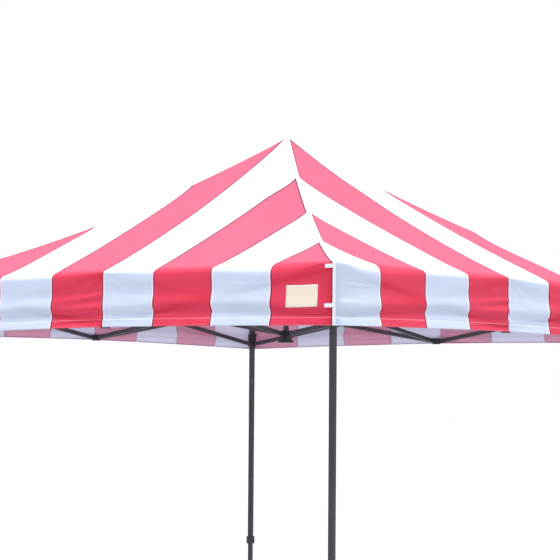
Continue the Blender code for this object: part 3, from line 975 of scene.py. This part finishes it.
def boltTree():
    inputs = {"Points": "Geometry", **dict.fromkeys(hardware, "Float"), "Steel": "Material",
              "Nylon": "Material"}
    tree, start = newTree("pivotHardware", inputs, "Hardware")
    washerUnder = [cylinder(tree, 24, start["Washer Radius"], 0.0010, 0.0005) for _ in range(2)]
    dome = primitive(tree, "GeometryNodeMeshUVSphere",
                     {"Segments": 20, "Rings": 12, "Radius": start["Head Radius"]}, 0.0009, (1, 1, 0.45))
    socket = cylinder(tree, 6, 0.0024, 0.0040, 0.0042)
    head = tree.nodes.new("GeometryNodeMeshBoolean")
    head.operation = "DIFFERENCE"
    tree.links.new(dome, head.inputs[0])
    tree.links.new(socket, head.inputs[1])
    bolt = joined(tree, [washerUnder[0], head.outputs[0]])
    nut = joined(tree, [washerUnder[1], cylinder(tree, 6, start["Nut Radius"], start["Nut Height"], 0.0032),
                        cylinder(tree, 16, 0.0030, 0.0060, 0.0046)])
    ring = cylinder(tree, 24, start["Spacer Radius"], start["Spacer Height"])
    choices = addNode(tree, "GeometryNodeGeometryToInstance")
    for shape, finish in ((ring, "Nylon"), (nut, "Steel"), (bolt, "Steel")):
        dressed = addNode(tree, "GeometryNodeSetMaterial", {"Geometry": shape, "Material": start[finish]})
        tree.links.new(dressed.outputs[0], choices.inputs[0])
    axis = addNode(tree, "GeometryNodeInputNamedAttribute", {"Name": "axis"}, data_type="FLOAT_VECTOR")
    kind = addNode(tree, "GeometryNodeInputNamedAttribute", {"Name": "kind"}, data_type="INT")
    lie = addNode(tree, "FunctionNodeAlignRotationToVector", {"Vector": axis.outputs[0]}, axis="Z")
    placed = addNode(tree, "GeometryNodeInstanceOnPoints",
                     {"Points": start["Points"], "Instance": choices.outputs[0], "Pick Instance": True,
                      "Instance Index": kind.outputs[0], "Rotation": lie.outputs[0]})
    real = addNode(tree, "GeometryNodeRealizeInstances", {"Geometry": placed.outputs[0]})
    addNode(tree, "NodeGroupOutput", {0: real.outputs[0]})
    return tree


boltPlaces = {}          # body: list of (place, direction, kind); kind 0 is a bolt head, 1 a nut, 2 a spacer


def addBolt(body, side, place, across, crossing=False):
    # across is the bolt's direction; at a crossing it holds two bars with a spacer between them
    place, across = np.array(place, float), np.array(across, float)
    found = boltPlaces.setdefault(body, [])
    nutAt = -stack["barFace"] if crossing else stack["lugFace"]
    for kind, distance in ((0, stack["barFace"]), (1, nutAt)):
        direction = across * (1 if distance > 0 else -1)
        found.append((turned(place + across * distance, side), turned(direction, side), kind))
    if crossing:
        found.append((turned(place, side), turned(across, side), 2))


def placeBolts():
    block = legAt - pivots["blockIn"]
    legPivot = legAt - pivots["legIn"]
    top, low, middleZ = pivots["topZ"], pivots["lowZ"], (pivots["topZ"] + pivots["lowZ"]) / 2
    for side, name in enumerate(sides):
        right, left = corners[side] + "_", corners[side - 1] + "_"
        for end, corner in ((1, right), (-1, left)):
            x = end * pivots["blockIn"]
            addBolt(name + "_top_block", side, (x, -legAt, top), (0, 1, 0))
            addBolt(name + "_low_block", side, (x, -legAt, low), (0, -1, 0))
            x = end * legPivot
            addBolt(corner + "leg", side, (x, -legAt, top), (0, -1, 0))
            addBolt(corner + "slider", side, (x, -legAt, low), (0, 1, 0))
            x = end * (pivots["blockIn"] + legPivot) / 2
            bar = f"{name}_{'right' if end > 0 else 'left'}_bar_up"
            addBolt(bar, side, (x, -legAt, middleZ), (0, -1, 0), True)
        addBolt(name + "_top_block", side, (0, -block, top), (-1, 0, 0))
        addBolt(name + "_low_block", side, (0, -block, low), (1, 0, 0))
        addBolt("centre", side, (0, -pivots["legIn"], top), (1, 0, 0))
        addBolt("lower_hub", side, (0, -pivots["legIn"], low), (-1, 0, 0))
        middle = -(block + pivots["legIn"]) / 2
        addBolt(name + "_inner_bar_up", side, (0, middle, middleZ), (1, 0, 0), True)


collar = {"half": 0.019, "screws": (0.664, 0.688)}


def placeCollarScrews():
    # two screws in the outer face of each locking collar
    for corner in corners:
        x, y = legCentre(corner)
        out = 1 if x > 0 else -1
        for z in collar["screws"]:
            place = np.array((x + out * collar["half"], y, z))
            boltPlaces[corner + "_leg"].append((place, np.array((out, 0, 0.0)), 0))


def makeBolts():
    tree = boltTree()
    for body, places in boltPlaces.items():
        mesh = bpy.data.meshes.new(body + "_bolts")
        mesh.from_pydata([place.tolist() for place, _, _ in places], [], [])
        axis = mesh.attributes.new("axis", "FLOAT_VECTOR", "POINT")
        axis.data.foreach_set("vector", np.array([direction for _, direction, _ in places]).ravel())
        kind = mesh.attributes.new("kind", "INT", "POINT")
        kind.data.foreach_set("value", [kind for _, _, kind in places])
        obj = linkObject(body + "_bolts", mesh)
        runTree(obj, tree, {**hardware, "Steel": zinc, "Nylon": plastic})
        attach(obj, body)


placeBolts()
placeCollarScrews()
makeBolts()


# Floor, light and camera

studio = {"floorSize": 400.0, "floorShade": colour(0.365, 0.368, 0.382),
          "floorCloud": colour(0.380, 0.383, 0.397), "skyLight": colour(0.84, 0.92, 1.08),
          "skyStrength": 0.58, "sunStrength": 7.0, "sunWidth": 46.0, "sunLean": (1.5, 2.0)}


def makeFloor():
    bm = bmesh.new()
    bmesh.ops.create_grid(bm, x_segments=8, y_segments=8, size=studio["floorSize"] / 2)
    material, tree, shader = startMaterial("studioFloor", 0.9)
    cloud = objectNoise(tree, 0.7, 3.0)
    shade = mixColour(tree, remap(tree, cloud, 0.3, 0.7, 0.0, 0.25), studio["floorShade"],
                      studio["floorCloud"])
    tree.links.new(shade, shader.inputs["Base Color"])
    floor = meshFrom(bm, "studio_floor", material)
    floor.data.transform(Matrix.Translation((0, 0, -0.0005)))


def makeLight():
    world = bpy.data.worlds.new("studioWorld")
    bpy.context.scene.world = world
    world.use_nodes = True
    tree = world.node_tree
    background = tree.nodes["Background"]
    background.inputs["Color"].default_value = studio["skyLight"]
    background.inputs["Strength"].default_value = studio["skyStrength"]
    seen = addNode(tree, "ShaderNodeBackground", {"Color": colour(1, 1, 1), "Strength": 1.0})
    path = addNode(tree, "ShaderNodeLightPath")
    mix = addNode(tree, "ShaderNodeMixShader", {0: path.outputs["Is Camera Ray"], 1: background.outputs[0],
                                               2: seen.outputs[0]})
    tree.links.new(mix.outputs[0], tree.nodes["World Output"].inputs["Surface"])
    sun = bpy.data.lights.new("overheadLight", "SUN")
    sun.energy = studio["sunStrength"]
    sun.angle = radians(studio["sunWidth"])
    lamp = bpy.data.objects.new("overheadLight", sun)
    lamp.rotation_euler = (*(radians(angle) for angle in studio["sunLean"]), 0)
    bpy.context.scene.collection.objects.link(lamp)


cameraFit = {"place": (8.0123, -9.9315, 1.5415), "yaw": 39.0587, "pitch": 3.3307, "roll": 0.4327,
             "lens": 143.088}


def makeCamera():
    yaw, pitch, roll = (radians(cameraFit[key]) for key in ("yaw", "pitch", "roll"))
    forward = Vector((-sin(yaw) * cos(pitch), cos(yaw) * cos(pitch), sin(pitch)))
    level = Vector((cos(yaw), sin(yaw), 0))
    upright = level.cross(forward)
    right = level * cos(roll) + upright * sin(roll)
    up = upright * cos(roll) - level * sin(roll)
    lens = bpy.data.cameras.new("photoCamera")
    lens.lens = cameraFit["lens"]
    lens.clip_end = 1000
    camera = bpy.data.objects.new("photoCamera", lens)
    place = Matrix.Translation(cameraFit["place"])
    camera.matrix_world = place @ Matrix((right, up, -forward)).transposed().to_4x4()
    bpy.context.scene.collection.objects.link(camera)
    bpy.context.scene.camera = camera


makeFloor()
makeLight()
makeCamera()
bpy.context.scene.view_settings.view_transform = "Standard"
